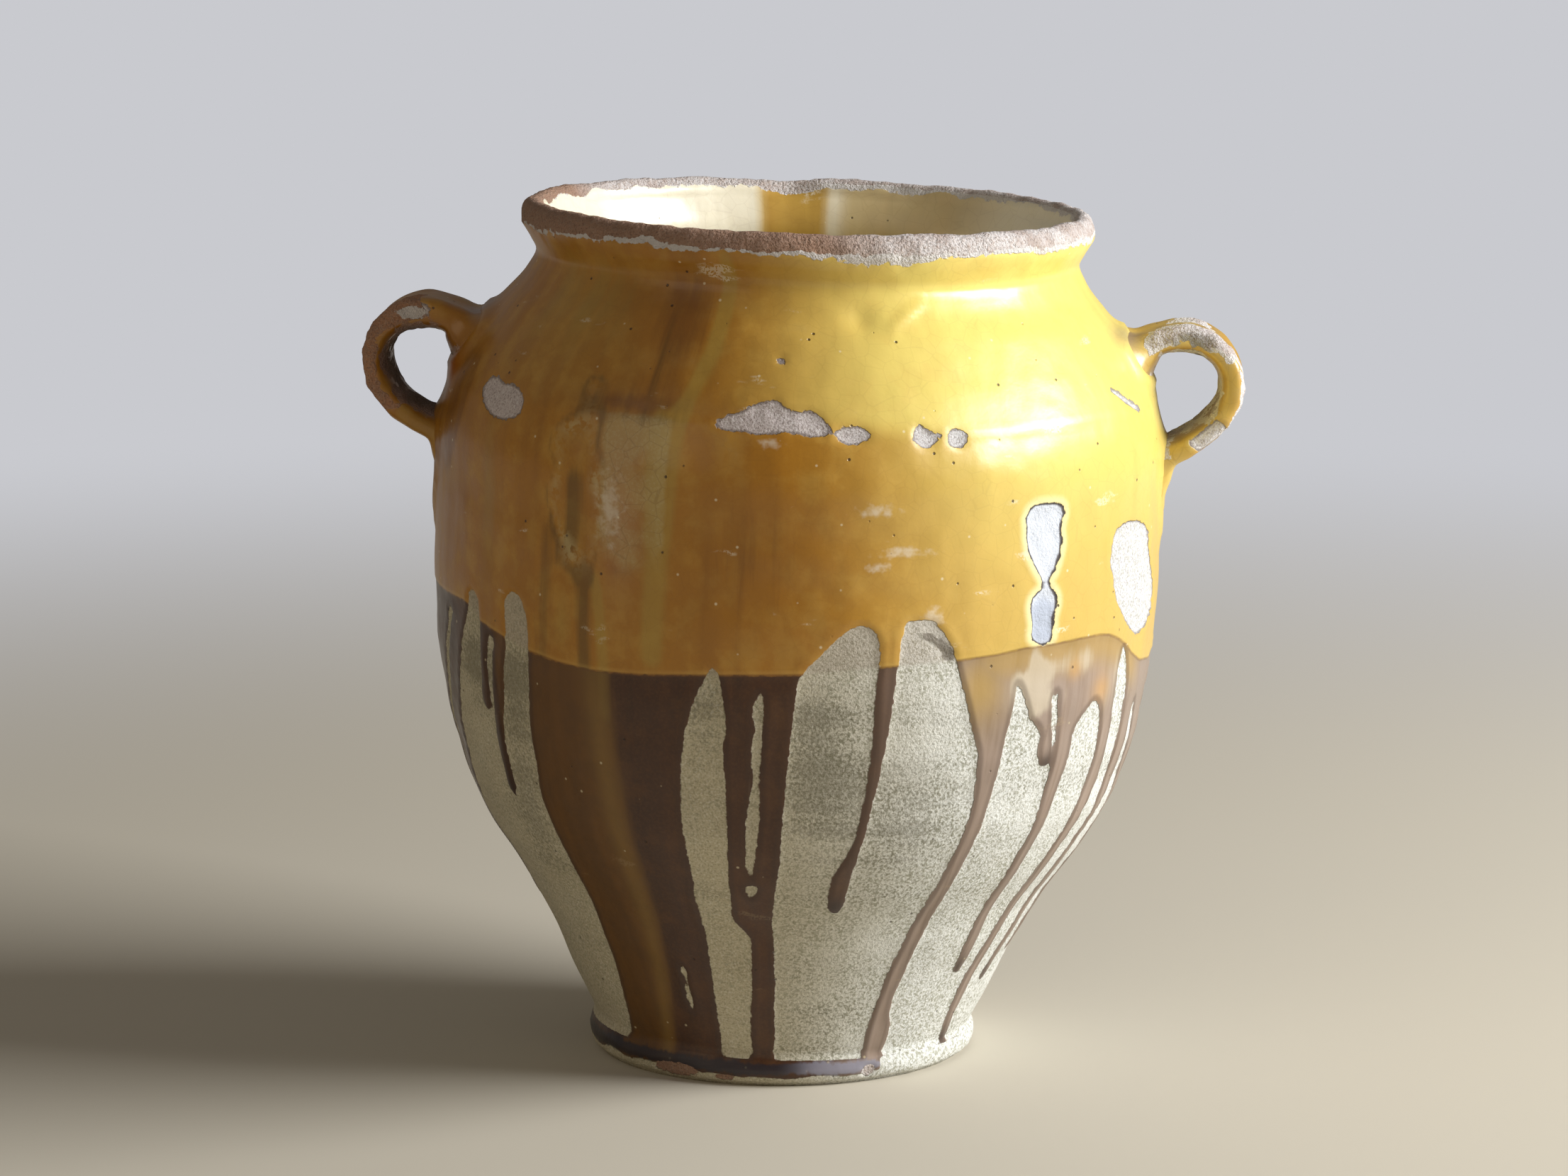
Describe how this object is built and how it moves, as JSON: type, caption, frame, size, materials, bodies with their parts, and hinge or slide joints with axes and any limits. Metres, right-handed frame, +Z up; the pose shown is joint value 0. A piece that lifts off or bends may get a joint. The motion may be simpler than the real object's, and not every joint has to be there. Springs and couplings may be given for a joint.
{
  "type": "confit pot",
  "caption": "Bulbous earthenware preserving pot with rolled rim, small beaded foot and looped strap handles on the shoulder, amber glaze over the upper part running down bare clay.",
  "frame": {"origin": "middle of the flat underside, on the surface that the pot stands on", "axes": "+Z up, +X through the right-hand handle, front towards -Y; the pot's own axis leans 1.8 degrees from +Z towards +X"},
  "size_m": [0.339, 0.2784, 0.3331],
  "materials": {
    "glazed_earthenware": "clear amber lead glaze over white slip, worn and chipped, running in brown streaks over bare buff clay"
  },
  "bodies": {
    "root": {"pot": "glazed_earthenware"}
  },
  "joints": []
}
